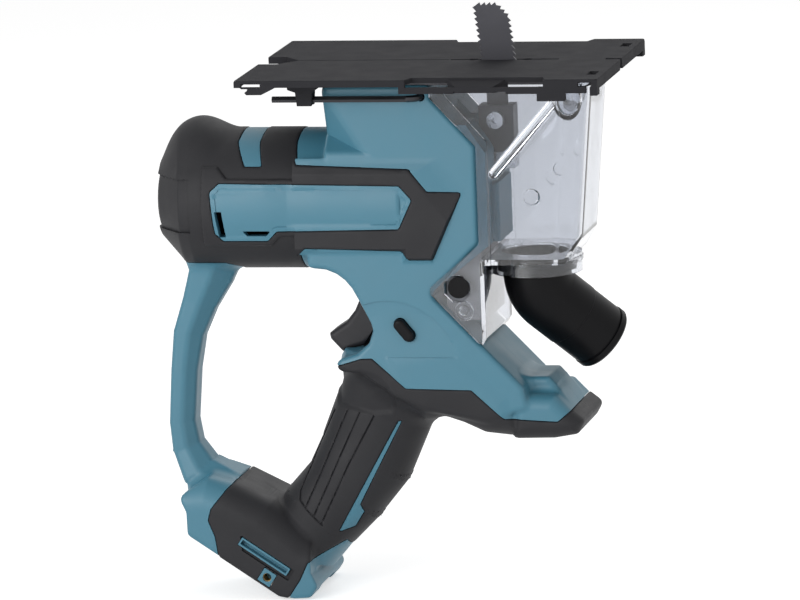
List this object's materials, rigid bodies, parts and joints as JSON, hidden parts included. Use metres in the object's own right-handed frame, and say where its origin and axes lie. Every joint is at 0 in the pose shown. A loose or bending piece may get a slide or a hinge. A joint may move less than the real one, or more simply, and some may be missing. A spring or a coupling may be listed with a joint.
{
  "type": "drywall cut out tool",
  "caption": "Cordless drywall cut-out saw: motor barrel, D-shaped guarded grip, battery foot, flat base with a short reciprocating blade, clear dust box and swivelling hose nozzle.",
  "frame": {"origin": "on the base's working face, where the blade's centre line passes through it", "axes": "+Z the way the blade points, out of the base; -X towards the motor's rear end and trigger side; +Y across the base, to the tool's right"},
  "size_m": [0.2015, 0.116, 0.254],
  "materials": {
    "teal_plastic": "satin moulded",
    "soft_overmould": "matt",
    "grey_plastic": "fine texture",
    "black_plastic": "satin",
    "clear_plastic": "clear moulded",
    "dark_steel": "black oxide",
    "bright_steel": "ground",
    "cast_alloy": "as cast",
    "copper": "varnished winding",
    "bronze": "sintered",
    "carbon": "sintered carbon"
  },
  "bodies": {
    "housing": {"housing_left": "teal_plastic", "housing_right": "teal_plastic", "barrel_overmould_left": "soft_overmould", "barrel_overmould_right": "soft_overmould", "grip_overmould_left": "soft_overmould", "grip_overmould_right": "soft_overmould", "housing_screws": "dark_steel", "base_plate": "dark_steel", "base_cover": "grey_plastic", "base_screws": "bright_steel", "motor_can": "dark_steel", "motor_end_cap": "black_plastic", "brush_holders": "bronze", "carbon_brushes": "carbon", "motor_magnets": "dark_steel", "motor_bearings": "bright_steel", "gear_case": "cast_alloy", "gear_case_screws": "dark_steel", "crank_bearings": "bright_steel", "slider_guide": "cast_alloy", "slider_bushes": "bronze", "switch_body": "black_plastic", "terminal_block": "black_plastic", "terminal_blades": "bright_steel", "battery_leads": "black_plastic", "motor_leads": "black_plastic", "hook_nut_left": "bronze", "hook_nut_right": "bronze"},
    "armature": {"armature_shaft": "bright_steel", "armature_core": "copper", "commutator": "copper", "cooling_fan": "black_plastic", "pinion": "bright_steel"},
    "crank": {"crank_gear": "dark_steel", "crank_shaft": "bright_steel", "crank_roller": "bright_steel"},
    "blade_carrier": {"slider": "bright_steel", "blade_clamp": "dark_steel", "clamp_bolt": "bright_steel", "saw_blade": "dark_steel"},
    "trigger": {"trigger": "black_plastic"},
    "lock_off": {"lock_off_button": "black_plastic"},
    "dust_box": {"dust_box": "clear_plastic", "nozzle_seal": "soft_overmould"},
    "nozzle": {"nozzle_elbow": "black_plastic", "nozzle_outlet": "black_plastic"},
    "catch": {"box_catch": "black_plastic"},
    "key": {"hex_key": "dark_steel"}
  },
  "joints": [
    {"name": "motor_spin", "type": "hinge", "parent": "housing", "child": "armature", "pos_m": [-0.1, 0, -0.059], "axis": [1, 0, 0], "range_deg": [-374.9, 374.9]},
    {"name": "crank_turn", "type": "hinge", "parent": "housing", "child": "crank", "pos_m": [-0.03, 0, -0.0838], "axis": [1, 0, 0], "range_deg": [-90, 90]},
    {"name": "blade_stroke", "type": "slide", "parent": "housing", "child": "blade_carrier", "axis": [0, 0, 1], "range_m": [-0.003, 0.003]},
    {"name": "trigger_pull", "type": "slide", "parent": "housing", "child": "trigger", "axis": [0.832, 0, -0.5548], "range_m": [0, 0.006], "stiffness_N_per_m": 800},
    {"name": "lock_off_slide", "type": "slide", "parent": "housing", "child": "lock_off", "axis": [0, 1, 0], "range_m": [0, 0.005]},
    {"name": "dust_box_pull", "type": "slide", "parent": "housing", "child": "dust_box", "axis": [1, 0, 0], "range_m": [0, 0.08]},
    {"name": "nozzle_swivel", "type": "hinge", "parent": "dust_box", "child": "nozzle", "pos_m": [0.0146, 0, -0.088], "axis": [0, 0, 1], "range_deg": [-115, 45]},
    {"name": "catch_press", "type": "slide", "parent": "housing", "child": "catch", "axis": [0, 1, 0], "range_m": [0, 0.0025], "stiffness_N_per_m": 500},
    {"name": "hex_key_swing", "type": "hinge", "parent": "housing", "child": "key", "pos_m": [-0.028, -0.0325, -0.0118], "axis": [0, -1, 0], "range_deg": [0, 70]}
  ],
  "couplings": [
    {"joint": "crank_turn", "follows": "motor_spin", "ratio": -0.24},
    {"joint": "blade_stroke", "follows": "motor_spin", "m_per_rad": -0.00045837}
  ]
}
